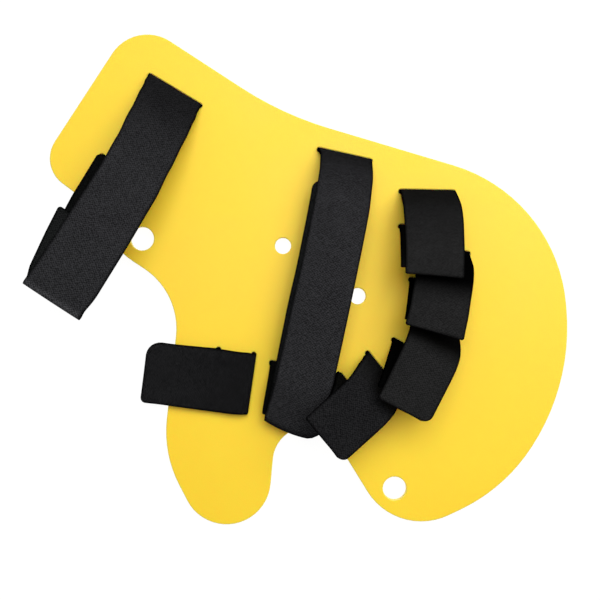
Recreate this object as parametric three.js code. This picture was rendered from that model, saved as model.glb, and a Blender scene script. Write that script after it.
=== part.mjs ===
import * as THREE from 'three';

// Hand splint: a flat board shaped to a spread hand, with seven webbing straps laced through slots.
// X runs from the heel edge of the board to the fingertips, Y to the little finger side, Z up.

// Driving dimensions, in millimetres

// Board
const BOARD_LENGTH = 283.5;
const BOARD_WIDTH = 219;
const BOARD_THICKNESS = 3.5;
const EDGE_CHAMFER = 0.4;
const LARGE_HOLE = 11.8;
const SMALL_HOLE = 8.1;

// Webbing
const WEBBING_THICKNESS = 1.5;
const WIDE_WEBBING = 30;
const NARROW_WEBBING = 27;
const LAYER_GAP = 0.35;
const BOARD_GAP = 0.3;
const SLOT_END_CLEARANCE = 0.7;
const SLOT_SIDE_CLEARANCE = 0.45;
const SLOT_BEND = 1.15;
const SHORT_END_BEND = 2;
const JOIN_BEND = 8;
const FIRST_LEAN = 0.7;
const LEAN_LENGTH = 0.1;
const SWING_POWER = 6;

// Straps: slot spacing, reach from the first slot to the far end, and rise over the board
const FOREARM_SPACING = 46.9;
const FOREARM_REACH = 116;
const FOREARM_RISE = 35;
const FOREARM_FOLD_LENGTH = 38;
const PALM_SPACING = 109.2;
const PALM_REACH = 137.8;
const PALM_RISE = 16;
const PALM_FOLD_LENGTH = 121;
const THUMB_SPACING = 17.7;
const THUMB_REACH = 52.3;
const THUMB_RISE = 5;
const FINGER_SPACING = 17.5;
const FINGER_RISE = 27;
const LITTLE_REACH = 42.9;
const RING_REACH = 41.4;
const MIDDLE_REACH = 44.6;
const INDEX_REACH = 42.1;

// How finely curves are cut into flats
const CURVE_TOLERANCE = 0.05;
const LONGEST_FLAT = 9;
const SAME_POINT = 0.01;
const CORNER_STEPS = 4;
const SHORTEST_CUT = 0.1;
const SLOT_END_STEPS = 6;
const HOLE_SIDES = 24;

const BOARD_BOTTOM = WEBBING_THICKNESS + BOARD_GAP;
const BOARD_TOP = BOARD_BOTTOM + BOARD_THICKNESS;
const LAYER_STEP = WEBBING_THICKNESS + LAYER_GAP;

// Board outline, clockwise from the heel corner: corners as shares of the board's length and width,
// each rounded to a radius that is a share of its length
const OUTLINE = [
  { along: 0.000, across: 0.204, radius: 0.074 },
  { along: 0.310, across: 0.204, radius: 0.600 },
  { along: 0.795, across: 0.390, radius: 0.280 },
  { along: 1.000, across: 0.051, radius: 0.384 },
  { along: 1.000, across: -0.236, radius: 0.307 },
  { along: 0.890, across: -0.467, radius: 0.112 },
  { along: 0.542, across: -0.255, radius: 0.062 },
  { along: 0.710, across: -0.667, radius: 0.078 },
  { along: 0.560, across: -0.667, radius: 0.074 },
  { along: 0.461, across: -0.595, radius: 0.205 },
  { along: 0.332, across: -0.264, radius: 0.127 },
  { along: 0.205, across: -0.264, radius: 0.141 },
  { along: 0.092, across: -0.206, radius: 0.141 },
  { along: 0.000, across: -0.199, radius: 0.055 },
];

// Round through holes, placed as shares of the board's length and width
const HOLES = [
  { along: 0.223, across: -0.209, diameter: LARGE_HOLE },
  { along: 0.837, across: -0.372, diameter: LARGE_HOLE },
  { along: 0.438, across: -0.047, diameter: SMALL_HOLE },
  { along: 0.597, across: -0.050, diameter: SMALL_HOLE },
];

// Side view of the long end of a strap, from the first slot to the far end: run as a share of the
// reach, height and bend radius as shares of the rise
const FOREARM_ARCH = [
  { run: 0.000, height: 0.05, bend: 0.08 },
  { run: 0.260, height: 0.50, bend: 1.70 },
  { run: 1.000, height: 1.00, bend: 0.00 },
];
const PALM_ARCH = [
  { run: 0.000, height: 0.12, bend: 0.15 },
  { run: 0.070, height: 0.80, bend: 0.75 },
  { run: 0.450, height: 1.00, bend: 6.00 },
  { run: 0.860, height: 0.95, bend: 1.80 },
  { run: 1.000, height: 0.50, bend: 0.00 },
];
const THUMB_ARCH = [
  { run: 0.000, height: 0.15, bend: 0.20 },
  { run: -0.045, height: 0.95, bend: 0.45 },
  { run: 0.250, height: 0.62, bend: 3.00 },
  { run: 1.000, height: 0.75, bend: 0.00 },
];
const FINGER_ARCH = [
  { run: 0.000, height: 0.06, bend: 0.10 },
  { run: 0.280, height: 0.78, bend: 0.65 },
  { run: 1.000, height: 1.00, bend: 0.00 },
];

// One row for each strap. The first slot is placed by shares of the board's length and width, and
// heading is the strap's direction in degrees. drift is how far the far end lies to the side, swing
// how far its edge turns, in degrees. joins and ends say where the short end meets and stops under
// the long one, as shares of the reach. shortDrift and foldDrift are the sideways lie of the short
// end and of the folded end. corners are the radii of the free end, on its drift side and the other.
const STRAPS = [
  {
    name: 'forearm_strap', width: WIDE_WEBBING, along: 0.129, across: 0.115, heading: -88,
    spacing: FOREARM_SPACING, reach: FOREARM_REACH, rise: FOREARM_RISE, arch: FOREARM_ARCH,
    drift: 10.4, swing: 0, joins: 0.74, ends: 0.88, shortDrift: 8, foldLength: FOREARM_FOLD_LENGTH,
    foldDrift: -5, corners: [3, 1.5],
  },
  {
    name: 'palm_strap', width: NARROW_WEBBING, along: 0.442, across: 0.203, heading: -69.5,
    spacing: PALM_SPACING, reach: PALM_REACH, rise: PALM_RISE, arch: PALM_ARCH,
    drift: 4.3, swing: -8, joins: 0.90, ends: 0.985, shortDrift: 1.3, foldLength: PALM_FOLD_LENGTH,
    foldDrift: -1.3, corners: [1.5, 3],
  },
  {
    name: 'thumb_strap', width: WIDE_WEBBING, along: 0.5207, across: -0.3513, heading: -155.1,
    spacing: THUMB_SPACING, reach: THUMB_REACH, rise: THUMB_RISE, arch: THUMB_ARCH,
    drift: 1.5, swing: 1, joins: 0.45, ends: 0.75, shortDrift: 1.2, foldLength: 0,
    foldDrift: 0, corners: [2.5, 7],
  },
  {
    name: 'little_strap', width: NARROW_WEBBING, along: 0.599, across: 0.236, heading: -57.9,
    spacing: FINGER_SPACING, reach: LITTLE_REACH, rise: FINGER_RISE, arch: FINGER_ARCH,
    drift: 0.8, swing: -4, joins: 0.84, ends: 0.92, shortDrift: -0.8, foldLength: 0,
    foldDrift: 0, corners: [1, 1],
  },
  {
    name: 'ring_strap', width: NARROW_WEBBING, along: 0.677, across: 0.145, heading: -66.7,
    spacing: FINGER_SPACING, reach: RING_REACH, rise: FINGER_RISE, arch: FINGER_ARCH,
    drift: -0.7, swing: -6, joins: 0.84, ends: 0.93, shortDrift: -2.2, foldLength: 0,
    foldDrift: 0, corners: [1, 1],
  },
  {
    name: 'middle_strap', width: NARROW_WEBBING, along: 0.735, across: -0.006, heading: -87.2,
    spacing: FINGER_SPACING, reach: MIDDLE_REACH, rise: FINGER_RISE, arch: FINGER_ARCH,
    drift: 4.6, swing: 3, joins: 0.84, ends: 0.92, shortDrift: 2, foldLength: 0,
    foldDrift: 0, corners: [4.5, 1],
  },
  {
    name: 'index_strap', width: NARROW_WEBBING, along: 0.710, across: -0.166, heading: -108.5,
    spacing: FINGER_SPACING, reach: INDEX_REACH, rise: FINGER_RISE, arch: FINGER_ARCH,
    drift: 4, swing: 1, joins: 0.56, ends: 0.92, shortDrift: 4, foldLength: 0,
    foldDrift: 0, corners: [4, 1],
  },
];

// Rounds the corners of a line with tangent arcs. Each corner has x, y and radius. Each returned
// point also has its place: the number of the corner that it is at, or the share of the way between.
function roundCorners(corners, closed) {
  const count = corners.length;
  const sides = corners.map((corner, index) => {
    const next = corners[(index + 1) % count];
    return new THREE.Vector2(next.x - corner.x, next.y - corner.y);
  });
  const turns = corners.map((corner, index) => {
    const before = sides[(index + count - 1) % count];
    const open = !closed && (index === 0 || index === count - 1);
    return open ? 0 : Math.atan2(before.cross(sides[index]), before.dot(sides[index]));
  });
  const tangents = corners.map(({ radius }, index) => radius * Math.tan(Math.abs(turns[index]) / 2));
  const allowed = tangents.map((tangent, index) => {
    const before = (index + count - 1) % count;
    const next = (index + 1) % count;
    const roomBefore = sides[before].length() / Math.max(tangent + tangents[before], 1e-9);
    const roomAfter = sides[index].length() / Math.max(tangent + tangents[next], 1e-9);
    return tangent * Math.min(1, roomBefore, roomAfter);
  });
  const points = [];
  corners.forEach((corner, index) => {
    const tangent = allowed[index];
    if (tangent < 1e-6) {
      points.push({ x: corner.x, y: corner.y, place: index });
      return;
    }
    const before = sides[(index + count - 1) % count];
    const turn = turns[index];
    const radius = tangent / Math.tan(Math.abs(turn) / 2);
    const flat = 2 * Math.acos(Math.max(0.5, 1 - CURVE_TOLERANCE / radius));
    const steps = Math.max(2, Math.ceil(Math.abs(turn) / flat));
    const start = before.clone().setLength(-tangent).add(corner);
    const heading = before.angle();
    const hand = Math.sign(turn);
    const centre = {
      x: start.x - Math.sin(heading) * radius * hand,
      y: start.y + Math.cos(heading) * radius * hand,
    };
    for (let part = 0; part <= steps; part += 1) {
      const share = part / steps;
      const angle = heading - hand * Math.PI / 2 + turn * share;
      const shift = (2 * share - 1) * tangent / (share < 0.5 ? before : sides[index]).length();
      points.push({
        x: centre.x + Math.cos(angle) * radius,
        y: centre.y + Math.sin(angle) * radius,
        place: index + shift,
      });
    }
  });
  return points.filter(({ x, y }, index) => {
    const before = points[index - 1];
    return index === 0 || Math.hypot(x - before.x, y - before.y) > SAME_POINT;
  });
}

// A long end leans to the side soon after it leaves its slot, and then runs nearly straight on.
function lean(share) {
  const run = THREE.MathUtils.clamp(share, 0, 1);
  return FIRST_LEAN * (1 - Math.exp(-run / LEAN_LENGTH)) + (1 - FIRST_LEAN) * run;
}

function deck(strap) {
  const turn = THREE.MathUtils.degToRad(strap.heading);
  const heading = new THREE.Vector2(Math.cos(turn), Math.sin(turn));
  return {
    slot: new THREE.Vector2(strap.along * BOARD_LENGTH, strap.across * BOARD_WIDTH),
    heading,
    across: new THREE.Vector2(-heading.y, heading.x),
  };
}

// Moves an open line of corners sideways by a distance, with its bends kept concentric.
function offsetLine(corners, distance) {
  return corners.map((corner, index) => {
    const before = corners[Math.max(index - 1, 0)];
    const after = corners[Math.min(index + 1, corners.length - 1)];
    const back = index > 0 ? Math.atan2(corner.y - before.y, corner.x - before.x) : null;
    const ahead = index < corners.length - 1 ? Math.atan2(after.y - corner.y, after.x - corner.x) : null;
    const first = back ?? ahead;
    const second = ahead ?? back;
    const half = (second - first) / 2;
    const middle = first + half;
    const length = distance / Math.cos(half);
    return {
      x: corner.x + Math.sin(middle) * length,
      y: corner.y - Math.cos(middle) * length,
      radius: Math.max(0.2, corner.radius + Math.sign(half) * distance),
    };
  });
}

function heightOn(line, run) {
  for (let index = 1; index < line.length; index += 1) {
    const from = line[index - 1];
    const to = line[index];
    if (run <= to.x || index === line.length - 1) {
      return from.y + (to.y - from.y) * (run - from.x) / (to.x - from.x);
    }
  }
  return line[0].y;
}

// How far a strap lies to the side at a point of its route, and how far it is turned there, in
// degrees. shortTip is the short end's tip.
function lieOf(strap, shortTip, { x, y, layer }) {
  if (layer === 'under') {
    return { side: 0, turn: 0 };
  }
  const share = THREE.MathUtils.clamp(x / strap.reach, 0, 1);
  const turn = strap.swing * share ** SWING_POWER;
  if (layer === 'short') {
    const along = Math.hypot(x - strap.spacing, y - BOARD_TOP);
    const whole = Math.hypot(shortTip.x - strap.spacing, shortTip.y - BOARD_TOP);
    return { side: strap.shortDrift * along / whole, turn };
  }
  const side = strap.drift * lean(share);
  if (layer === 'fold') {
    return { side: side + strap.foldDrift * Math.max(0, strap.reach - x) / strap.foldLength, turn };
  }
  return { side, turn };
}

// The whole strap as one line seen from its side: the short end, the second slot, the run under the
// board, the first slot, the long end and the end that is folded back under it.
function strapRoute(strap) {
  const middle = WEBBING_THICKNESS / 2;
  const longEnd = strap.arch.map(({ run, height, bend }) => ({
    x: run * strap.reach,
    y: BOARD_TOP + height * strap.rise,
    radius: bend * strap.rise,
    layer: 'long',
  }));
  const layers = strap.foldLength > 0 ? 2 : 1;
  const under = offsetLine(longEnd, layers * LAYER_STEP);
  const joins = strap.joins * strap.reach;
  const ends = strap.ends * strap.reach;
  const rows = [
    { x: ends, y: heightOn(under, ends), radius: 0, layer: 'short' },
    { x: joins, y: heightOn(under, joins), radius: JOIN_BEND, layer: 'short' },
    { x: strap.spacing, y: BOARD_TOP + SHORT_END_BEND / 2, radius: SHORT_END_BEND, layer: 'under' },
    { x: strap.spacing, y: middle, radius: SLOT_BEND, layer: 'under' },
    { x: 0, y: middle, radius: SLOT_BEND, layer: 'under' },
    ...longEnd,
  ];
  if (strap.foldLength > 0) {
    const tip = rows.pop();
    const before = rows[rows.length - 1];
    const bend = LAYER_STEP / 2;
    const ahead = new THREE.Vector2(tip.x - before.x, tip.y - before.y).setLength(bend);
    const back = offsetLine(longEnd, LAYER_STEP);
    const backTip = back[back.length - 1];
    const stop = strap.reach - strap.foldLength;
    const inside = back.slice(0, -1).reverse().filter((corner) => corner.x > stop);
    rows.push(
      { x: tip.x + ahead.x, y: tip.y + ahead.y, radius: bend, layer: 'long' },
      { x: backTip.x + ahead.x, y: backTip.y + ahead.y, radius: bend, layer: 'fold' },
      ...inside.map((corner) => ({ ...corner, layer: 'fold' })),
      { x: stop, y: heightOn(back, stop), radius: 0, layer: 'fold' },
    );
  }
  return rows;
}

// The layer that a place on the route belongs to. The stretches next to the board's slots count as
// part of the end that they lead to.
function layerAt(rows, place) {
  const before = rows[Math.floor(place)].layer;
  const after = rows[Math.ceil(place)].layer;
  return before === 'under' ? after : before;
}

// The route as points close enough for its bends, each with its sideways lie. Those near the free
// end also have their distance from it, for its round corners.
function ribbonPoints(strap) {
  const rows = strapRoute(strap);
  const line = [];
  roundCorners(rows, false).forEach((point) => {
    const before = line[line.length - 1];
    const layer = layerAt(rows, point.place);
    const length = before ? Math.hypot(point.x - before.x, point.y - before.y) : 0;
    const flat = layer === 'under' && before.layer === 'under';
    const parts = flat ? 1 : Math.max(1, Math.ceil(length / LONGEST_FLAT));
    for (let part = 1; part <= parts; part += 1) {
      const share = part / parts;
      const place = before ? THREE.MathUtils.lerp(before.place, point.place, share) : 0;
      line.push({
        x: before ? THREE.MathUtils.lerp(before.x, point.x, share) : point.x,
        y: before ? THREE.MathUtils.lerp(before.y, point.y, share) : point.y,
        place,
        layer: layerAt(rows, place),
      });
    }
  });
  const tip = line.pop();
  const inner = line[line.length - 1];
  const last = Math.hypot(tip.x - inner.x, tip.y - inner.y);
  const cuts = new Set([0]);
  strap.corners.forEach((radius) => {
    for (let step = 1; step <= CORNER_STEPS; step += 1) {
      const cut = radius * (1 - Math.cos(step / CORNER_STEPS * Math.PI / 2));
      if (cut > SHORTEST_CUT && cut < last - SHORTEST_CUT) {
        cuts.add(Math.round(cut / SHORTEST_CUT) * SHORTEST_CUT);
      }
    }
  });
  [...cuts].sort((one, other) => other - one).forEach((cut) => {
    line.push({
      x: THREE.MathUtils.lerp(tip.x, inner.x, cut / last),
      y: THREE.MathUtils.lerp(tip.y, inner.y, cut / last),
      layer: tip.layer,
      cut,
    });
  });
  return line.map((point) => ({ ...point, ...lieOf(strap, rows[0], point) }));
}

// How much narrower one side is at a distance from the free end, for a corner of this radius.
function cornerInset(radius, cut) {
  if (cut === undefined || cut >= radius) {
    return 0;
  }
  return radius - Math.sqrt(radius ** 2 - (radius - cut) ** 2);
}

function strapGeometry(strap) {
  const { slot, heading, across } = deck(strap);
  const points = ribbonPoints(strap);
  const centres = points.map(({ x, y, side }) => new THREE.Vector3(
    slot.x + heading.x * x + across.x * side,
    slot.y + heading.y * x + across.y * side,
    y,
  ));
  const half = strap.width / 2;
  const thin = WEBBING_THICKNESS / 2;
  const vertices = [];
  centres.forEach((centre, index) => {
    const before = centres[Math.max(index - 1, 0)];
    const after = centres[Math.min(index + 1, centres.length - 1)];
    const into = centre.clone().sub(before).normalize();
    const out = after.clone().sub(centre).normalize();
    const tangent = into.clone().add(out).normalize();
    const turn = THREE.MathUtils.degToRad(points[index].turn);
    const width = new THREE.Vector3(across.x, across.y, 0).applyAxisAngle(new THREE.Vector3(0, 0, 1), turn);
    const up = tangent.clone().cross(width).normalize();
    const bend = index > 0 && index < centres.length - 1 ? Math.sqrt((1 + into.dot(out)) / 2) : 1;
    const near = half - cornerInset(strap.corners[0], points[index].cut);
    const far = half - cornerInset(strap.corners[1], points[index].cut);
    [[near, 1], [-far, 1], [-far, -1], [near, -1]].forEach(([wide, high]) => {
      const corner = centre.clone()
        .addScaledVector(width, wide)
        .addScaledVector(up, high * thin / bend);
      vertices.push(corner.x, corner.y, corner.z);
    });
  });
  const faces = [0, 3, 2, 0, 2, 1];
  for (let index = 0; index < centres.length - 1; index += 1) {
    for (let side = 0; side < 4; side += 1) {
      const next = (side + 1) % 4;
      const a = index * 4 + side;
      const b = index * 4 + next;
      const c = (index + 1) * 4 + next;
      const d = (index + 1) * 4 + side;
      faces.push(a, b, c, a, c, d);
    }
  }
  const end = (centres.length - 1) * 4;
  faces.push(end, end + 1, end + 2, end, end + 2, end + 3);
  const geometry = new THREE.BufferGeometry();
  geometry.setAttribute('position', new THREE.Float32BufferAttribute(vertices, 3));
  geometry.setIndex(faces);
  geometry.computeVertexNormals();
  return geometry;
}

// A slot with round ends, wide enough for the webbing that passes through it.
function slotPath(centre, across, length, width) {
  const turn = Math.atan2(across.y, across.x);
  const straight = (length - width) / 2;
  const points = [];
  [1, -1].forEach((end) => {
    for (let part = 0; part <= SLOT_END_STEPS; part += 1) {
      const angle = turn + Math.PI * (part / SLOT_END_STEPS - end / 2);
      points.push(new THREE.Vector2(
        centre.x + across.x * straight * end + Math.cos(angle) * width / 2,
        centre.y + across.y * straight * end + Math.sin(angle) * width / 2,
      ));
    }
  });
  return new THREE.Path(points);
}

function holePath(centre, diameter) {
  const points = [];
  for (let part = 0; part < HOLE_SIDES; part += 1) {
    const angle = 2 * Math.PI * part / HOLE_SIDES;
    points.push(new THREE.Vector2(
      centre.x + Math.cos(angle) * diameter / 2,
      centre.y + Math.sin(angle) * diameter / 2,
    ));
  }
  return new THREE.Path(points);
}

function boardGeometry() {
  const corners = OUTLINE.map(({ along, across, radius }) => ({
    x: along * BOARD_LENGTH,
    y: across * BOARD_WIDTH,
    radius: radius * BOARD_LENGTH,
  }));
  const outline = roundCorners(corners, true).map(({ x, y }) => new THREE.Vector2(x, y));
  const shape = new THREE.Shape(outline);
  STRAPS.forEach((strap) => {
    const { slot, heading, across } = deck(strap);
    const length = strap.width + 2 * SLOT_END_CLEARANCE;
    const width = WEBBING_THICKNESS + 2 * SLOT_SIDE_CLEARANCE;
    const second = slot.clone().addScaledVector(heading, strap.spacing);
    shape.holes.push(slotPath(slot, across, length, width), slotPath(second, across, length, width));
  });
  HOLES.forEach(({ along, across, diameter }) => {
    shape.holes.push(holePath({ x: along * BOARD_LENGTH, y: across * BOARD_WIDTH }, diameter));
  });
  const geometry = new THREE.ExtrudeGeometry(shape, {
    depth: BOARD_THICKNESS - 2 * EDGE_CHAMFER,
    steps: 1,
    bevelEnabled: true,
    bevelThickness: EDGE_CHAMFER,
    bevelSize: EDGE_CHAMFER,
    bevelOffset: -EDGE_CHAMFER,
    bevelSegments: 1,
  });
  geometry.translate(0, 0, BOARD_BOTTOM + EDGE_CHAMFER);
  return geometry;
}

function makeBoard() {
  const plastic = new THREE.MeshStandardMaterial({ color: 0xffe01e, roughness: 0.45, metalness: 0 });
  const board = new THREE.Mesh(boardGeometry(), plastic);
  board.name = 'board';
  return board;
}

function makeStrap(strap) {
  const webbing = new THREE.MeshStandardMaterial({ color: 0x1e1e20, roughness: 0.85, metalness: 0 });
  const mesh = new THREE.Mesh(strapGeometry(strap), webbing);
  mesh.name = strap.name;
  return mesh;
}

const splint = new THREE.Group();
splint.add(makeBoard(), ...STRAPS.map(makeStrap));

// The origin is at the middle of the underside of the whole splint.
const box = new THREE.Box3().setFromObject(splint);
splint.position.set(-(box.min.x + box.max.x) / 2, -(box.min.y + box.max.y) / 2, -box.min.z);

export default splint;
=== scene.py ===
import math

import bpy
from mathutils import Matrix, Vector


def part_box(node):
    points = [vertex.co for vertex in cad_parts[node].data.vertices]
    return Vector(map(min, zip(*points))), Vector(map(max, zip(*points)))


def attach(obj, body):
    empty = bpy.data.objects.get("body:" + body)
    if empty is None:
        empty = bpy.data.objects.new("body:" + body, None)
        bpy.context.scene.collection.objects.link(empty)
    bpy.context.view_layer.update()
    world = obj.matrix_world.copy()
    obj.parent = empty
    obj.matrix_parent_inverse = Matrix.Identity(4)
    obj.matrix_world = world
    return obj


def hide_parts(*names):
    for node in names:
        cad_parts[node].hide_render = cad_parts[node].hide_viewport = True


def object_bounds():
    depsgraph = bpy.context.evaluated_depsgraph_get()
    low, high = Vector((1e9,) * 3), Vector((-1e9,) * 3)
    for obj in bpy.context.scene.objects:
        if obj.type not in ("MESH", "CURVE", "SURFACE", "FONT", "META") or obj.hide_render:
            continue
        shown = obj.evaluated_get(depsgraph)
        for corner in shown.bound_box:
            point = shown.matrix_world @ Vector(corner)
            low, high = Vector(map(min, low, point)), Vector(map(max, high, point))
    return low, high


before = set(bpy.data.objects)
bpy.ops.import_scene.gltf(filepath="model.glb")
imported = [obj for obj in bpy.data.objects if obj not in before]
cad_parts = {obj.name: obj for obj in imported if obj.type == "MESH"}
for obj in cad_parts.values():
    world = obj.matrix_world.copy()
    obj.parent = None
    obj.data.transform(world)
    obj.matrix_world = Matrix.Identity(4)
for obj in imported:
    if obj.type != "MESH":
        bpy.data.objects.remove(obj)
solid_low, solid_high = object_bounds()

# Hand splint: a flat yellow board shaped to a spread hand, with seven straps of black webbing.
# Lengths are those of the solids, in millimetres, and MM turns them to metres.
# Heights are from the floor, and THUMB_TIP is a share of the board's width.
MM = 0.001
BOARD_LENGTH = 283.5
BOARD_WIDTH = 219
THUMB_TIP = -0.667
BOARD_TOP = 5.3
BOARD_THICKNESS = 3.5
BOARD_UNDERSIDE = BOARD_TOP - BOARD_THICKNESS
WEBBING_THICKNESS = 1.5
WIDE_WEBBING = 30
NARROW_WEBBING = 27
LAYER_STEP = 1.85

# Bends of the webbing: in a slot, where a short end leaves its slot, where it meets the long end, and
# the least that a layer keeps inside another. Then the corner radius of a short end.
SLOT_BEND = 1.15
SHORT_END_BEND = 2
JOIN_BEND = 8
LEAST_BEND = 0.2
SHORT_CORNER = 0.8

# A long end leans by a share of its drift soon after its slot, and swings round near its tip
FIRST_LEAN = 0.7
LEAN_LENGTH = 0.1
SWING_POWER = 6

# How finely the webbing is laid, with short steps where it rises through a slot
BEND_TOLERANCE = 0.01
CLOSEST_POINTS = 0.01
NEARLY_ZERO = 1e-6
FEWEST_ARC_STEPS = 3
LONGEST_STEP = 2.0
SLOT_STEP = 0.5
SLOT_ZONE = 3
LEVEL_RISE = 0.1
CELLS_ACROSS = 14
CORNER_STEPS = 6
CORNER_MARGIN = 0.3

# Webbing bunches up to fill its slot, spreads under the board, and rises a little behind its slot's middle
SLOT_FILL = 0.6
SLOT_FILL_FADE = 1.3
UNDER_FILL = 1.0
UNDER_PUSH = 0.45
SLOT_HUG = 0.35

# Webbing is slightly crowned between its selvedges, fully so once it is CROWN_RAMP off the board
CROWN = 0.35
CROWN_RAMP = 14

# Painted shade scales the webbing's tone: darker on the steep rise by its slot, and a painted shadow under a
# neighbouring strap's end.
# Its selvedges and cut ends are drawn darker, and it has a set tone under the board.
SELVEDGE_SHARE = 0.045
SELVEDGE_TONE = 0.15
CUT_END_FADE = 1.2
UNDER_BOARD_TONE = 0.9

# A folded end bows near its fold, its tucked corner starts at a share of the half width, and the
# last stretch of it may have a painted highlight (above one) or painted shade (below one) of its own
FOLD_FADE = 7
TUCK_START = 0.55
FOLD_SHADING_LENGTH = 1

# Thickness and edges of the pieces
SELVEDGE_RADIUS = 0.5
SELVEDGE_ANGLE = math.radians(60)
RIM_RADIUS = 0.26
RIM_ANGLE = math.radians(35)
ROUND_STEPS = 3
SMOOTH_ANGLE = math.radians(50)
MERGE_DISTANCE = 0.01
FLAT_ANGLE = math.radians(1)

# Side view of a long end: run as a share of the reach, height and bend radius as shares of the rise
FOREARM_ARCH = [(0, 0.05, 0.08), (0.26, 0.50, 1.70), (1, 1, 0)]
PALM_ARCH = [(0, 0.12, 0.15), (0.07, 0.80, 0.75), (0.45, 1, 6), (0.86, 0.95, 1.8), (1, 0.5, 0)]
THUMB_ARCH = [(0, 0.15, 0.20), (-0.045, 0.95, 0.45), (0.25, 0.62, 3), (1, 0.75, 0)]
FINGER_ARCH = [(0, 0.06, 0.10), (0.28, 0.78, 0.65), (1, 1, 0)]

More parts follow.
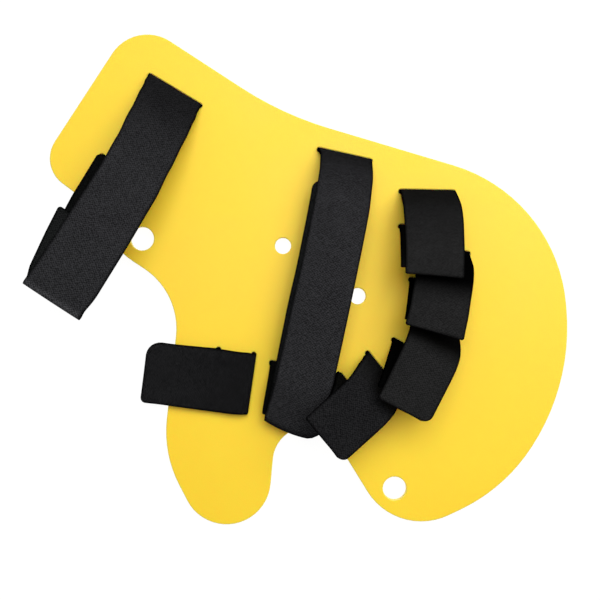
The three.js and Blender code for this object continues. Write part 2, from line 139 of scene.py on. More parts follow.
# Each strap starts at a slot that lies along and across the board, as shares of its length and width.
# From there its long end heads off, in degrees, and its second slot is spacing further on.
# reach and rise: the run and height of the long end, whose side view is its arch.
# drift and swing: how far the long end has moved sideways at its tip, and how many degrees it has turned.
# joins and ends: where the short end meets the long one and where it stops, as shares of the reach.
# short_drift, fold_length and fold_drift: sideways moves of the short end and of the folded part.
# Right and left are those of a view from above in which the long end points down.
# corners: radii of the free end's right and left corner.
# spread: for each layer, shares of the reach with how much wider it lies there, to its right and left.
# fold_ends and tuck: how far the fold bows out at its left, middle and right, and its tucked corner.
# shade_ramp: painted shade on the webbing, darkest by its slot or under the neighbouring strap's end, and
# between which distances it fades out.
# slot_fill, hug and fold_shading: the strap's own SLOT_FILL and SLOT_HUG, and a painted highlight or painted
# shade along its fold.
STRAPS = [
    dict(
        name="forearm", width=WIDE_WEBBING, along=0.129, across=0.115, heading=-88, spacing=46.9,
        reach=116, rise=35, arch=FOREARM_ARCH, drift=10.4, swing=0, joins=0.74, ends=0.88,
        short_drift=8, fold_length=38, fold_drift=-5, corners=(3, 1.5),
        spread=dict(
            long=[
                (0, 0, 0), (0.04, -1.2, 1.6), (0.10, -2.0, 2.5), (0.18, -1.8, 2.1), (0.31, -0.7, 0.6),
                (0.46, 0.6, 0), (0.70, 1.15, 0.1), (0.90, 1.2, 0.2), (1, 0, 0.8),
            ],
            fold=[(0.67, 0, 1.7), (0.80, 0, 2.0), (0.93, 0.4, 1.9), (1, 0, 0.8)],
            short=[(0.40, -0.4, 0), (0.42, -0.6, 1.3), (0.58, -0.6, 1.0), (0.74, 0, 0)],
        ),
        fold_ends=(-1.1, -0.5, 0), shade_ramp=(0.45, 3, 50), hug=0.05, fold_shading=1.7,
    ),
    dict(
        name="palm", width=NARROW_WEBBING, along=0.442, across=0.203, heading=-69.5, spacing=109.2,
        reach=137.8, rise=16, arch=PALM_ARCH, drift=4.3, swing=-8, joins=0.90, ends=0.985,
        short_drift=1.3, fold_length=121, fold_drift=-1.3, corners=(1.5, 4.5),
        spread=dict(
            long=[
                (0, 0, 0), (0.02, 0.2, -1.1), (0.13, 0.8, -1.2), (0.20, 1.1, -1.0), (0.40, 1.1, -1.0),
                (0.60, 1.15, -0.6), (0.85, 1.1, -0.3), (1, 0, 1.1),
            ],
            fold=[(0.10, 0, 0), (0.40, 1.0, 0.3), (0.60, 1.1, 0.9), (0.85, 1.1, 0.9), (1, 0, 1.3)],
        ),
        fold_ends=(0, 1.6, 0), tuck=3.2, shade_ramp=(0.45, 2, 30), hug=0.05, fold_shading=0.4,
    ),
    dict(
        name="thumb", width=WIDE_WEBBING, along=0.5207, across=-0.3513, heading=-155.1, spacing=17.7,
        reach=52.3, rise=5, arch=THUMB_ARCH, drift=1.5, swing=1, joins=0.45, ends=0.75,
        short_drift=1.2, fold_length=0, fold_drift=0, corners=(2.5, 7),
        spread=dict(long=[(0, 0.3, 0.2), (0.06, 0.3, 0.7), (0.35, 0.1, 1.1), (0.8, 0, 0.5), (1, 0.2, 0.6)]),
        shade_ramp=(0.75, 0, 50), slot_fill=0.1,
    ),
    dict(
        name="little", width=NARROW_WEBBING, along=0.599, across=0.236, heading=-57.9, spacing=17.5,
        reach=42.9, rise=27, arch=FINGER_ARCH, drift=0.8, swing=-4, joins=0.84, ends=0.92,
        short_drift=-0.8, fold_length=0, fold_drift=0, corners=(1, 1),
        spread=dict(
            long=[
                (0, 0, 0), (0.03, 0.3, 0.2), (0.12, 0.4, 0.5), (0.30, 0.2, 0.8), (0.70, 0.3, 0.4),
                (1, -0.1, 0.7),
            ],
            short=[(0.42, 0, 0), (0.92, 0, 1.0)],
        ),
        shade_ramp=(0.45, 4, 46), hug=0.05,
    ),
    dict(
        name="ring", width=NARROW_WEBBING, along=0.677, across=0.145, heading=-66.7, spacing=17.5,
        reach=41.4, rise=27, arch=FINGER_ARCH, drift=-0.7, swing=-6, joins=0.84, ends=0.93,
        short_drift=-2.2, fold_length=0, fold_drift=0, corners=(1, 1),
        spread=dict(long=[(0, -0.2, 0), (0.20, 1.0, -0.4), (0.70, 0.8, 0), (1, 0.2, 1.0)]),
        shade_ramp=(0.05, 26, 40),
    ),
    dict(
        name="middle", width=NARROW_WEBBING, along=0.735, across=-0.006, heading=-87.2, spacing=17.5,
        reach=44.6, rise=27, arch=FINGER_ARCH, drift=4.6, swing=3, joins=0.84, ends=0.92,
        short_drift=2, fold_length=0, fold_drift=0, corners=(4.5, 1),
        spread=dict(long=[(0, 0, 0), (0.25, 0.3, 0.5), (1, 0, 0)]),
        shade_ramp=(0.15, 12, 30),
    ),
    dict(
        name="index", width=NARROW_WEBBING, along=0.710, across=-0.166, heading=-108.5, spacing=17.5,
        reach=42.1, rise=27, arch=FINGER_ARCH, drift=4, swing=1, joins=0.56, ends=0.92,
        short_drift=4, fold_length=0, fold_drift=0, corners=(4, 1),
        spread=dict(
            long=[(0, 0, 0), (0.05, 0, 1.1), (0.15, 0, 1.7), (0.40, 0, 0.8), (1, 0, 0.5)],
            short=[(0.40, 0, 1.5), (0.47, 0, 2.2), (0.55, 0, 1.3), (0.62, 0, 0.3), (0.70, 0, 0)],
        ),
        shade_ramp=(0.6, 0, 16),
    ),
]

board_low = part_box("board")[0]


def place(x, y, z):
    """A point of the splint, in millimetres from the heel corner's line, as a place in the frame."""
    return Vector((board_low.x + x * MM, board_low.y + (y - THUMB_TIP * BOARD_WIDTH) * MM, z * MM))


# Camera: straight down on the board, turned so that the fingertips point to the lower right
SENSOR_WIDTH = 36
CAMERA_HEIGHT = 430
FRAME_WIDTH = 300
CAMERA_TURN = math.radians(33.1)
VIEW_ALONG = 146.14
VIEW_ACROSS = -28.34
VIEW_MIDDLE = place(VIEW_ALONG, VIEW_ACROSS, BOARD_TOP)

camera_data = bpy.data.cameras.new("camera")
camera_data.sensor_width = SENSOR_WIDTH
camera_data.lens = SENSOR_WIDTH * CAMERA_HEIGHT / FRAME_WIDTH
camera = bpy.data.objects.new("camera", camera_data)
camera.location = VIEW_MIDDLE + Vector((0, 0, CAMERA_HEIGHT * MM))
camera.rotation_euler = (0, 0, CAMERA_TURN)
bpy.context.collection.objects.link(camera)
bpy.context.scene.camera = camera


def smooth(share):
    """A share that starts and stops gently."""
    return share * share * (3 - 2 * share)


def corner(x, y, radius, layer):
    """A corner of a line seen from the side, with its bend radius and its layer of the webbing."""
    return dict(at=Vector((x, y)), radius=radius, layer=layer)


def rounded(line, tolerance):
    """Points of an open line with a tangent arc in each corner, each with its place on the line."""
    sides = [after["at"] - before["at"] for before, after in zip(line, line[1:])]
    turns = [0.0]
    for before, after in zip(sides, sides[1:]):
        turns.append(math.atan2(before.x * after.y - before.y * after.x, before.dot(after)))
    turns.append(0.0)
    tangents = [bend["radius"] * math.tan(abs(turn) / 2) for bend, turn in zip(line, turns)]
    points = []
    for index, bend in enumerate(line):
        if tangents[index] < NEARLY_ZERO:
            points.append((bend["at"], float(index)))
            continue
        before, after = sides[index - 1], sides[index]
        room = min(
            1,
            before.length / (tangents[index] + tangents[index - 1]),
            after.length / (tangents[index] + tangents[index + 1]),
        )
        tangent = tangents[index] * room
        turn = turns[index]
        radius = tangent / math.tan(abs(turn) / 2)
        flat = 2 * math.acos(1 - min(1, tolerance / radius))
        steps = max(FEWEST_ARC_STEPS, math.ceil(abs(turn) / flat))
        hand = math.copysign(1, turn)
        start = bend["at"] - before.normalized() * tangent
        heading = math.atan2(before.y, before.x)
        centre = start + Vector((-math.sin(heading), math.cos(heading))) * radius * hand
        for step in range(steps + 1):
            share = step / steps
            angle = heading - hand * math.pi / 2 + turn * share
            side = before if share < 0.5 else after
            spot = centre + Vector((math.cos(angle), math.sin(angle))) * radius
            points.append((spot, index + (2 * share - 1) * tangent / side.length))
    kept = [points[0]]
    for point in points[1:]:
        if (point[0] - kept[-1][0]).length > CLOSEST_POINTS:
            kept.append(point)
    return kept


def beside(line, distance):
    """The same open line, moved sideways by a distance, with its bends kept concentric."""
    moved = []
    for index, bend in enumerate(line):
        before = line[max(index - 1, 0)]["at"]
        after = line[min(index + 1, len(line) - 1)]["at"]
        back = bend["at"] - before if index > 0 else after - bend["at"]
        ahead = after - bend["at"] if index < len(line) - 1 else back
        first = math.atan2(back.y, back.x)
        half = (math.atan2(ahead.y, ahead.x) - first) / 2
        reach = distance / math.cos(half)
        at = bend["at"] + Vector((math.sin(first + half), -math.cos(first + half))) * reach
        hand = 0 if abs(half) < NEARLY_ZERO else math.copysign(1, half)
        radius = max(LEAST_BEND, bend["radius"] + hand * distance)
        moved.append(corner(at.x, at.y, radius, bend["layer"]))
    return moved


def height_on(line, run):
    """The height of an open line at a run along the strap, read off its straight sides."""
    before, after = next(
        (start, end) for start, end in zip(line, line[1:]) if run <= end["at"].x or end is line[-1]
    )
    share = (run - before["at"].x) / (after["at"].x - before["at"].x)
    return before["at"].y + (after["at"].y - before["at"].y) * share


def strap_route(strap):
    """A strap seen from its side: short end, second slot, under the board, first slot, long end."""
    lying = WEBBING_THICKNESS / 2
    spacing, reach = strap["spacing"], strap["reach"]
    long_end = []
    for run, height, bend in strap["arch"]:
        x = run * reach if run else -strap.get("hug", SLOT_HUG)
        long_end.append(corner(x, BOARD_TOP + height * strap["rise"], bend * strap["rise"], "long"))
    layers_above = 2 if strap["fold_length"] else 1
    under = beside(long_end, layers_above * LAYER_STEP)
    joins, ends = strap["joins"] * reach, strap["ends"] * reach
    route = [
        corner(ends, height_on(under, ends), 0, "short"),
        corner(joins, height_on(under, joins), JOIN_BEND, "short"),
        corner(spacing, BOARD_TOP + SHORT_END_BEND / 2, SHORT_END_BEND, "under"),
        corner(spacing + UNDER_PUSH, lying, SLOT_BEND, "under"),
        corner(-UNDER_PUSH, lying, SLOT_BEND, "under"),
    ]
    route += long_end
    if strap["fold_length"]:
        fold_back(strap, route, long_end)
    return route


def fold_back(strap, route, long_end):
    """Ends a route with a fold at the tip and a last layer that runs back under the long end."""
    tip = route.pop()
    bend = LAYER_STEP / 2
    ahead = (tip["at"] - route[-1]["at"]).normalized() * bend
    back = beside(long_end, LAYER_STEP)
    stop = strap["reach"] - strap["fold_length"]
    back_tip = back[-1]["at"] + ahead
    route.append(corner(tip["at"].x + ahead.x, tip["at"].y + ahead.y, bend, "long"))
    route.append(corner(back_tip.x, back_tip.y, bend, "fold"))
    for inside in reversed(back[:-1]):
        if inside["at"].x > stop:
            route.append(corner(inside["at"].x, inside["at"].y, inside["radius"], "fold"))
    route.append(corner(stop, height_on(back, stop), 0, "fold"))


def lean(share):
    """A long end leans to the side soon after its slot, and then runs nearly straight on."""
    run = min(max(share, 0), 1)
    return FIRST_LEAN * (1 - math.exp(-run / LEAN_LENGTH)) + (1 - FIRST_LEAN) * run


def lie_of(strap, short_tip, layer, at):
    """How far a strap lies to the side at a point of its route, and its turn there in degrees."""
    if layer == "under":
        return 0.0, 0.0
    reach, spacing = strap["reach"], strap["spacing"]
    share = min(max(at.x / reach, 0), 1)
    turn = strap["swing"] * share ** SWING_POWER
    mouth = Vector((spacing, BOARD_TOP))
    if layer == "short":
        return strap["short_drift"] * (at - mouth).length / (short_tip - mouth).length, turn
    side = strap["drift"] * lean(share)
    if layer == "fold":
        side += strap["fold_drift"] * max(0, reach - at.x) / strap["fold_length"]
    return side, turn


def layer_at(route, where):
    """The layer of a place on a route. A stretch that leaves the under layer belongs to the next one."""
    before = route[math.floor(where)]["layer"]
    after = route[min(math.ceil(where), len(route) - 1)]["layer"]
    return after if before == "under" else before


def round_end(stations, radius):
    """Replaces the last points of a line with ones close enough for corners of that radius."""
    tip, where = stations[-1]
    kept = [station for station in stations if (station[0] - tip).length > radius + CORNER_MARGIN]
    inner, inner_where = kept[-1]
    length = (tip - inner).length
    for step in range(CORNER_STEPS + 1):
        cut = radius * (1 - math.sin(step / CORNER_STEPS * math.pi / 2))
        share = 1 - cut / length
        kept.append((inner.lerp(tip, share), inner_where + (where - inner_where) * share))
    return kept


def ribbon_stations(strap):
    """The route as close points, each with its layer and its distances from the strap's two ends."""
    route = strap_route(strap)
    stations = []
    for spot, where in rounded(route, BEND_TOLERANCE):
        if not stations:
            stations.append((spot, where))
            continue
        last_spot, last_where = stations[-1]
        low = min(spot.y, last_spot.y) < BOARD_TOP + SLOT_ZONE
        in_slot = low and abs(spot.y - last_spot.y) > LEVEL_RISE
        parts = max(1, math.ceil((spot - last_spot).length / (SLOT_STEP if in_slot else LONGEST_STEP)))
        for part in range(1, parts + 1):
            share = part / parts
            stations.append((last_spot.lerp(spot, share), last_where + (where - last_where) * share))
    stations = round_end(stations, max(strap["corners"]))
    stations = round_end(stations[::-1], SHORT_CORNER)[::-1]
    distances = [0.0]
    for (before, _), (after, _) in zip(stations, stations[1:]):
        distances.append(distances[-1] + (after - before).length)
    short_tip = route[0]["at"]
    made = []
    for (spot, where), distance in zip(stations, distances):
        layer = layer_at(route, where)
        side, turn = lie_of(strap, short_tip, layer, spot)
        made.append(dict(
            at=spot, side=side, turn=turn, layer=layer,
            from_short_end=distance, from_free_end=distances[-1] - distance,
        ))
    return made


def corner_inset(radius, cut):
    """How far a round corner draws the side in, at a distance from the end that it rounds."""
    return 0.0 if cut >= radius else radius - math.sqrt(max(0, radius ** 2 - (radius - cut) ** 2))


def slot_fill(strap, height):
    """How much wider a strap is on each side where it passes a slot or runs under the board."""
    if height < BOARD_UNDERSIDE:
        return UNDER_FILL
    fill = strap.get("slot_fill", SLOT_FILL)
    return fill * math.exp(-max(0, height - BOARD_TOP) / SLOT_FILL_FADE)


def spread_of(strap, layer, run):
    """How much further a strap reaches to its right and left than its woven half width, by its run."""
    rows = strap["spread"].get(layer)
    if rows is None:
        return 0.0, 0.0
    share_run = run / strap["reach"]
    if share_run <= rows[0][0]:
        return rows[0][1:]
    for (start, *before), (end, *after) in zip(rows, rows[1:]):
        if share_run <= end:
            ease = smooth((share_run - start) / (end - start))
            return tuple(b + (a - b) * ease for b, a in zip(before, after))
    return rows[-1][1:]


def sides_of(strap, station):
    """How far the webbing reaches to its right and left at a station of its route."""
    inset = corner_inset(SHORT_CORNER, station["from_short_end"])
    fill = slot_fill(strap, station["at"].y)
    spread = spread_of(strap, station["layer"], station["at"].x)
    return [
        strap["width"] / 2 - corner_inset(radius, station["from_free_end"]) - inset + fill + more
        for radius, more in zip(strap["corners"], spread)
    ]


def fold_shift(strap, run, share):
    """How far a folded end reaches on at its left, middle and right, less its tucked right corner."""
    side = 2 * share - 1
    near_fold = math.exp(-max(0, strap["reach"] - run) / FOLD_FADE)
    left, middle, right = strap.get("fold_ends", (0, 0, 0))
    bow = left * (side * side - side) / 2 + middle * (1 - side * side) + right * (side * side + side) / 2
    tuck = strap.get("tuck", 0) * max(0, (side - TUCK_START) / (1 - TUCK_START)) ** 2
    return (bow - tuck) * near_fold


def share_across(column):
    """Where a line of cells lies across a strap: a narrow cell at each selvedge, even ones between."""
    if column in (0, CELLS_ACROSS):
        return column / CELLS_ACROSS
    return SELVEDGE_SHARE + (1 - 2 * SELVEDGE_SHARE) * (column - 1) / (CELLS_ACROSS - 2)


def lay_cells(strap, stations):
    """The place of each cell corner by its column and row, with its distance from the middle line."""
    turn = math.radians(strap["heading"])
    heading = Vector((math.cos(turn), math.sin(turn), 0))
    across = Vector((-heading.y, heading.x, 0))
    slot = place(strap["along"] * BOARD_LENGTH, strap["across"] * BOARD_WIDTH, 0)
    cells = {}
    for row, station in enumerate(stations):
        at, layer = station["at"], station["layer"]
        centre = slot + (heading * at.x + across * station["side"] + Vector((0, 0, at.y))) * MM
        swing = math.radians(station["turn"])
        sideways = Vector((
            across.x * math.cos(swing) - across.y * math.sin(swing),
            across.x * math.sin(swing) + across.y * math.cos(swing),
            0,
        ))
        right, left = sides_of(strap, station)
        raised = min(abs(at.y - BOARD_TOP), CROWN_RAMP) / CROWN_RAMP
        crown = 0 if layer == "under" else CROWN * raised
        for column in range(CELLS_ACROSS + 1):
            share = share_across(column)
            reach = -left + (right + left) * share
            lift = crown * (1 - (2 * share - 1) ** 2)
            ahead = fold_shift(strap, at.x, share) if layer in ("long", "fold") else 0
            spot = centre + (sideways * reach + heading * ahead) * MM
            cells[column, row] = (spot + Vector((0, 0, lift * MM)), reach)
    return cells


def painted_shade_at(strap, station, mouth):
    """Painted shade on the webbing's face: darker by its slot, a painted shadow under a neighbouring strap's
    end, lighter or darker along a fold, and a set tone under the board.
    """
    if station["at"].y < BOARD_UNDERSIDE:
        return UNDER_BOARD_TONE
    # Painted light along the fold's last stretch: a painted highlight on the forearm strap, painted shade on
    # the palm strap.
    if abs(station["at"].x - strap["reach"]) < FOLD_SHADING_LENGTH and strap.get("fold_shading"):
        return strap["fold_shading"]
    # Painted shade that fades out along the strap: darkest by its slot, or under the end of the neighbouring
    # strap.
    deepest_shade, start, end = strap["shade_ramp"]
    share = min(max((station["from_short_end"] - mouth - start) / (end - start), 0), 1)
    return deepest_shade + (1 - deepest_shade) * smooth(share)


def mark_painted_shade(strap, stations, mesh, order):
    """Keeps the webbing's painted shade and highlight, with its darker selvedges and cut ends, in an
    attribute of its mesh, for the material to read.
    """
    mouth = min(s["from_short_end"] for s in stations if s["layer"] == "long" and s["at"].y > BOARD_TOP)
    painted_shade = mesh.attributes.new("painted_shade", "FLOAT", "POINT")
    for vertex, (column, row) in enumerate(order):
        selvedge = column in (0, CELLS_ACROSS)
        inside = 0 if selvedge else min(1, stations[row]["from_free_end"] / CUT_END_FADE)
        toned = painted_shade_at(strap, stations[row], mouth)
        painted_shade.data[vertex].value = toned * (SELVEDGE_TONE + (1 - SELVEDGE_TONE) * inside)


def lay_webbing(strap, face, back):
    """Lays one strap as a grid of cells along its route, and gives the piece and its flat length."""
    stations = ribbon_stations(strap)
    cells = lay_cells(strap, stations)
    rows = len(stations) - 1
    bpy.ops.object.select_all(action="DESELECT")
    bpy.ops.mesh.primitive_grid_add(x_subdivisions=CELLS_ACROSS, y_subdivisions=rows, size=1, calc_uvs=True)
    piece = bpy.context.object
    piece.name = strap["name"] + "_webbing"
    mesh = piece.data

    # The new grid is one unit wide and centred, so half a unit more gives each vertex its place in it.
    order = [
        (round((vertex.co.x + 0.5) * CELLS_ACROSS), round((vertex.co.y + 0.5) * rows))
        for vertex in mesh.vertices
    ]
    mark_painted_shade(strap, stations, mesh, order)
    uv = mesh.uv_layers.active.data
    for loop in mesh.loops:
        column, row = order[loop.vertex_index]
        uv[loop.index].uv = (cells[column, row][1] * MM, stations[row]["from_short_end"] * MM)
    for vertex in mesh.vertices:
        vertex.co = cells[order[vertex.index]][0]
    mesh.update()
    bpy.ops.object.mode_set(mode="EDIT")
    bpy.ops.mesh.select_all(action="SELECT")
    bpy.ops.mesh.flip_normals()
    bpy.ops.object.mode_set(mode="OBJECT")
    mesh.materials.clear()
    mesh.materials.append(face)
    mesh.materials.append(back)
    thicken(piece)
    return piece, stations[-1]["from_short_end"]


def thicken(piece):
    """Gives laid webbing its thickness, its back face and its soft selvedges."""
    wall = piece.modifiers.new("thickness", "SOLIDIFY")
    wall.thickness = WEBBING_THICKNESS * MM
    wall.offset = 0
    wall.use_even_offset = True
    wall.material_offset = 1
    wall.material_offset_rim = 1
    edge = piece.modifiers.new("selvedge", "BEVEL")
    edge.width = SELVEDGE_RADIUS * MM
    edge.segments = ROUND_STEPS
    edge.limit_method = "ANGLE"
    edge.angle_limit = SELVEDGE_ANGLE
    for modifier in (wall, edge):
        bpy.ops.object.modifier_apply(modifier=modifier.name)
    bpy.ops.object.shade_smooth_by_angle(angle=SMOOTH_ANGLE)


def dress_board():
    """The moulded board: a merged copy of the solid one, with its rims rounded over."""
    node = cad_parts["board"]
    bpy.ops.object.select_all(action="DESELECT")
    mesh = node.data.copy()
    mesh.transform(node.matrix_world)
    board = bpy.data.objects.new("board_sheet", mesh)
    bpy.context.collection.objects.link(board)
    bpy.context.view_layer.objects.active = board
    board.select_set(True)
    bpy.ops.object.mode_set(mode="EDIT")
    bpy.ops.mesh.select_all(action="SELECT")
    bpy.ops.mesh.remove_doubles(threshold=MERGE_DISTANCE * MM)
    bpy.ops.mesh.dissolve_limited(angle_limit=FLAT_ANGLE)
    bpy.ops.object.mode_set(mode="OBJECT")
    rim = board.modifiers.new("rim", "BEVEL")
    rim.width = RIM_RADIUS * MM
    rim.segments = ROUND_STEPS
    rim.limit_method = "ANGLE"
    rim.angle_limit = RIM_ANGLE
    level = board.modifiers.new("level", "WEIGHTED_NORMAL")
    level.keep_sharp = True
    bpy.ops.object.shade_smooth_by_angle(angle=SMOOTH_ANGLE)
    bpy.ops.object.modifier_apply(modifier=rim.name)
    bpy.ops.object.modifier_apply(modifier=level.name)
    return board


def linear(code):
    """An sRGB hex colour as the linear colour that a shader takes, by the sRGB formula."""
    shares = [int(code[index:index + 2], 16) / 255 for index in (1, 3, 5)]
    return tuple(s / 12.92 if s <= 0.04045 else ((s + 0.055) / 1.055) ** 2.4 for s in shares) + (1.0,)


def add_node(tree, kind, settings=None, **links):
    """Adds a node with its settings. Each link is a value or an output, and i2 means input 2."""
    node = tree.nodes.new(kind)
    for name, value in (settings or {}).items():
        setattr(node, name, value)
    for name, value in links.items():
        numbered = name[0] == "i" and name[1:].isdigit()
        socket = node.inputs[int(name[1:]) if numbered else name.replace("_", " ")]
        if isinstance(value, bpy.types.NodeSocket):
            tree.links.new(value, socket)
        else:
            socket.default_value = value
    return node


def start_material(name):
    """A new material, with its node tree and its surface shader."""
    material = bpy.data.materials.new(name)
    material.use_nodes = True
    tree = material.node_tree
    return material, tree, tree.nodes["Principled BSDF"]


# Moulded polyethylene. The mould's grain is nearer 0.3 mm, and is drawn coarser so that it shows.
# The rims are painted paler, a painted highlight where the edge of the sheet catches the light.
PLASTIC_SHADES = ("#ffd61c", "#ffda23")
PLASTIC_CLOUDS = 71.43
PLASTIC_BLEND = (0.30, 0.72)
PLASTIC_CLOUD_RANGE = (0.3, 0.7)
PLASTIC_ROUGHNESS = (0.50, 0.60)
PLASTIC_IOR = 1.51
PLASTIC_SPECULAR = 0.55
RIM_HIGHLIGHT_COLOUR = "#fff19a"
RIM_HIGHLIGHT = 0.55
RIM_FULL = 0.30
RIM_START = 0.04
WAVE_SIZE = 45.45
WAVE_DEPTH = 0.6
WAVE_STRENGTH = 0.25
GRAIN_SIZE = 0.9
GRAIN_DEPTH = 0.05
GRAIN_STRENGTH = 0.30
WAXINESS = 0.40
WAX_COLOUR_REACH = (1.0, 0.5, 0.1)
WAX_DEPTH = 3.0


def make_moulded_polyethylene():
    """Moulded polyethylene sheet: an even, waxy yellow with a soft gloss, a very fine grain and painted
    highlights on its rims.
    """
    material, tree, surface = start_material("moulded_polyethylene")
    spot = add_node(tree, "ShaderNodeTexCoord").outputs["Object"]
    cloud = add_node(
        tree, "ShaderNodeTexNoise", Vector=spot, Scale=1 / (PLASTIC_CLOUDS * MM), Detail=3.0, Roughness=0.55,
    )
    tint = add_node(tree, "ShaderNodeValToRGB", i0=cloud.outputs["Fac"])
    for stop, share, shade in zip(tint.color_ramp.elements, PLASTIC_BLEND, PLASTIC_SHADES):
        stop.position = share
        stop.color = linear(shade)
    half = BOARD_THICKNESS / 2
    parts = add_node(tree, "ShaderNodeSeparateXYZ", Vector=spot)
    offset = add_node(
        tree, "ShaderNodeMath", {"operation": "SUBTRACT"}, i0=parts.outputs["Z"], i1=(BOARD_TOP - half) * MM,
    )
    from_middle = add_node(tree, "ShaderNodeMath", {"operation": "ABSOLUTE"}, i0=offset.outputs[0])
    rim_highlight_share = add_node(
        tree, "ShaderNodeMapRange", {"clamp": True}, Value=from_middle.outputs[0],
        From_Min=(half - RIM_FULL) * MM, From_Max=(half - RIM_START) * MM, To_Min=RIM_HIGHLIGHT, To_Max=0.0,
    )
    # Painted highlight: the side walls of the sheet are drawn paler.
    rim = add_node(
        tree, "ShaderNodeMix", {"data_type": "RGBA"}, Factor=rim_highlight_share.outputs["Result"],
        i6=tint.outputs["Color"], i7=linear(RIM_HIGHLIGHT_COLOUR),
    )
    tree.links.new(rim.outputs[2], surface.inputs["Base Color"])
    grain = add_node(tree, "ShaderNodeTexNoise", Vector=spot, Scale=1 / (GRAIN_SIZE * MM), Detail=2.0)
    wave = add_node(tree, "ShaderNodeTexNoise", Vector=spot, Scale=1 / (WAVE_SIZE * MM), Detail=1.0)
    low = add_node(
        tree, "ShaderNodeBump", Strength=WAVE_STRENGTH, Distance=WAVE_DEPTH * MM, Height=wave.outputs["Fac"],
    )
    fine = add_node(
        tree, "ShaderNodeBump", Strength=GRAIN_STRENGTH, Distance=GRAIN_DEPTH * MM,
        Height=grain.outputs["Fac"], Normal=low.outputs["Normal"],
    )
    tree.links.new(fine.outputs["Normal"], surface.inputs["Normal"])
    thin, thick = PLASTIC_CLOUD_RANGE
    smoothest, roughest = PLASTIC_ROUGHNESS
    gloss = add_node(
        tree, "ShaderNodeMapRange", Value=cloud.outputs["Fac"], From_Min=thin, From_Max=thick,
        To_Min=smoothest, To_Max=roughest,
    )
    tree.links.new(gloss.outputs["Result"], surface.inputs["Roughness"])
    surface.inputs["IOR"].default_value = PLASTIC_IOR
    surface.inputs["Specular IOR Level"].default_value = PLASTIC_SPECULAR
    surface.inputs["Subsurface Weight"].default_value = WAXINESS
    surface.inputs["Subsurface Radius"].default_value = WAX_COLOUR_REACH
    surface.inputs["Subsurface Scale"].default_value = WAX_DEPTH * MM
    return material


# Woven nylon webbing. Real yarns lie about 0.5 mm apart, and the cells of the weave are drawn coarser,
# so that they show. STRAY_TURN is how far a yarn strays from its line, in radians of the weave.
WEAVE_ACROSS = 0.80
WEAVE_ALONG = 0.62
STRAY_SIZE = 1.6
STRAY_TURN = 9.0
FUZZ_SIZE = 1.1
FUZZ_SHARE = 0.60
PATCH_SIZE = 11.11
PATCH_SHARE = 0.10
WEBBING_BLEND = (0.36, 0.66)
WEAVE_STRENGTH = 0.55
WEAVE_DEPTH = 0.18
WEBBING_ROUGHNESS = 0.82


def make_webbing(name, dark, light):
    """Woven nylon webbing: black yarns in a plain weave, whose fuzz catches a little grey light."""
    material, tree, surface = start_material(name)
    flat = add_node(tree, "ShaderNodeUVMap").outputs["UV"]
    parts = add_node(tree, "ShaderNodeSeparateXYZ", Vector=flat)
    stray = add_node(tree, "ShaderNodeTexNoise", Vector=flat, Scale=1 / (STRAY_SIZE * MM), Detail=2.0)
    strays = add_node(tree, "ShaderNodeSeparateColor", i0=stray.outputs["Color"])
    yarns = []
    for axis, spacing in enumerate((WEAVE_ACROSS, WEAVE_ALONG)):
        shift = add_node(
            tree, "ShaderNodeMath", {"operation": "MULTIPLY"}, i0=strays.outputs[axis], i1=STRAY_TURN,
        )
        turn = add_node(
            tree, "ShaderNodeMath", {"operation": "MULTIPLY_ADD"}, i0=parts.outputs[axis],
            i1=math.pi / (spacing * MM), i2=shift.outputs[0],
        )
        yarns.append(add_node(tree, "ShaderNodeMath", {"operation": "SINE"}, i0=turn.outputs[0]).outputs[0])
    cross = add_node(tree, "ShaderNodeMath", {"operation": "MULTIPLY"}, i0=yarns[0], i1=yarns[1])
    weave = add_node(
        tree, "ShaderNodeMapRange", Value=cross.outputs[0], From_Min=-1.0, From_Max=1.0, To_Min=0.0,
        To_Max=1.0,
    )
    spot = add_node(tree, "ShaderNodeTexCoord").outputs["Object"]
    fuzz = add_node(
        tree, "ShaderNodeTexNoise", Vector=spot, Scale=1 / (FUZZ_SIZE * MM), Detail=3.0, Roughness=0.7,
    )
    patches = add_node(tree, "ShaderNodeTexNoise", Vector=spot, Scale=1 / (PATCH_SIZE * MM), Detail=2.0)
    fibres = add_node(
        tree, "ShaderNodeMix", {"data_type": "FLOAT"}, Factor=FUZZ_SHARE, i2=weave.outputs[0],
        i3=fuzz.outputs["Fac"],
    )
    toned = add_node(
        tree, "ShaderNodeMix", {"data_type": "FLOAT"}, Factor=PATCH_SHARE, i2=fibres.outputs[0],
        i3=patches.outputs["Fac"],
    )
    tone = add_node(tree, "ShaderNodeValToRGB", i0=toned.outputs[0])
    for stop, share, shade in zip(tone.color_ramp.elements, WEBBING_BLEND, (dark, light)):
        stop.position = share
        stop.color = linear(shade)
    # Painted shade: the tone is scaled by the mesh's attribute, darker by the slot and under a neighbouring
    # strap's end.
    painted_shade = add_node(tree, "ShaderNodeAttribute", {"attribute_name": "painted_shade"})
    shaded_tone = add_node(
        tree, "ShaderNodeVectorMath", {"operation": "SCALE"}, i0=tone.outputs["Color"],
        Scale=painted_shade.outputs["Fac"],
    )
    tree.links.new(shaded_tone.outputs[0], surface.inputs["Base Color"])
    bump = add_node(
        tree, "ShaderNodeBump", Strength=WEAVE_STRENGTH, Distance=WEAVE_DEPTH * MM, Height=fibres.outputs[0],
    )
    tree.links.new(bump.outputs["Normal"], surface.inputs["Normal"])
    surface.inputs["Roughness"].default_value = WEBBING_ROUGHNESS
    surface.inputs["Specular IOR Level"].default_value = 0.0
    return material


# Board
plastic = make_moulded_polyethylene()
board = dress_board()
board.data.materials.clear()
board.data.materials.append(plastic)
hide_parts("board")
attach(board, "root")

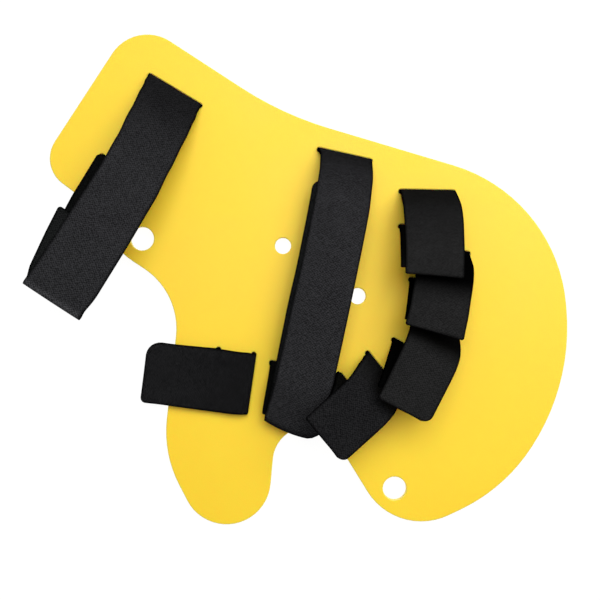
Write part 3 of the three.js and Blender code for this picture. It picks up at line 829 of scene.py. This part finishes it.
# Straps: brushed grey on the two long ones, smoother and darker on the rest, nearly black on the back, whose
# darker tone also stands in for the shade on the tucked layers
brushed = make_webbing("woven_nylon_brushed", dark="#181819", light="#343436")
smoother = make_webbing("woven_nylon_smooth", dark="#161616", light="#282828")
index_face = make_webbing("woven_nylon_index", dark="#0f0f10", light="#252526")
thumb_face = make_webbing("woven_nylon_thumb", dark="#0e0e0f", light="#252526")
# Partly painted shade: the back is a darker copy of the webbing, dark enough for the shaded tucked layers.
back = make_webbing("woven_nylon_back", dark="#0d0e0e", light="#202121")
FACES = {"forearm": brushed, "palm": brushed, "thumb": thumb_face, "index": index_face}
for strap in STRAPS:
    piece, length = lay_webbing(strap, FACES.get(strap["name"], smoother), back)
    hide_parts(strap["name"] + "_strap")
    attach(piece, "root")


# Floor: matt white paper that glows a little, so that it stays as white as a studio backdrop
WHITE = (1, 1, 1, 1)
PAPER_GREY = (0.10, 0.10, 0.10, 1)
PAPER_ROUGHNESS = 0.9
PAPER_SPECULAR = 0.1
PAPER_GLOW = 0.95
FLOOR_SIZE = 6
FLOOR_GAP = 0.2

bpy.ops.object.select_all(action="DESELECT")
bpy.ops.mesh.primitive_plane_add(
    size=FLOOR_SIZE, location=(VIEW_MIDDLE.x, VIEW_MIDDLE.y, solid_low.z - FLOOR_GAP * MM),
)
floor = bpy.context.object
floor.name = "floor"
paper, paper_tree, paper_surface = start_material("floor_paper")
paper_surface.inputs["Base Color"].default_value = PAPER_GREY
paper_surface.inputs["Roughness"].default_value = PAPER_ROUGHNESS
paper_surface.inputs["Specular IOR Level"].default_value = PAPER_SPECULAR
paper_surface.inputs["Emission Color"].default_value = WHITE
paper_surface.inputs["Emission Strength"].default_value = PAPER_GLOW
floor.data.materials.append(paper)


# Light: a softbox to the right of the view, a wider panel overhead, and even light all round
def softbox(name, right, up, height, size, power):
    """Adds a square lamp aimed at the middle of the view, with metres from there and a power in watts."""
    data = bpy.data.lights.new(name, "AREA")
    data.shape = "SQUARE"
    data.size = size
    data.energy = power
    lamp = bpy.data.objects.new(name, data)
    turn = Vector((math.cos(CAMERA_TURN), math.sin(CAMERA_TURN), 0))
    rise = Vector((-math.sin(CAMERA_TURN), math.cos(CAMERA_TURN), 0))
    lamp.location = VIEW_MIDDLE + turn * right + rise * up + Vector((0, 0, height))
    aim = VIEW_MIDDLE - lamp.location
    lamp.rotation_euler = aim.to_track_quat("-Z", "Y").to_euler()
    bpy.context.collection.objects.link(lamp)


softbox("softbox_right", right=0.42, up=0.26, height=0.62, size=0.5, power=2.6)
softbox("panel_overhead", right=0.06, up=0.36, height=0.95, size=0.7, power=6.4)

# The room is white to the camera and lights the splint more softly than that
ROOM_LIGHT = 0.29
ROOM_SEEN = 1.0

scene = bpy.context.scene
scene.world = scene.world or bpy.data.worlds.new("studio")
scene.world.use_nodes = True
room = scene.world.node_tree
background = room.nodes["Background"]
background.inputs["Color"].default_value = WHITE
rays = add_node(room, "ShaderNodeLightPath")
glow = add_node(
    room, "ShaderNodeMapRange", Value=rays.outputs["Is Camera Ray"], To_Min=ROOM_LIGHT, To_Max=ROOM_SEEN,
)
room.links.new(glow.outputs["Result"], background.inputs["Strength"])
scene.view_settings.view_transform = "Standard"
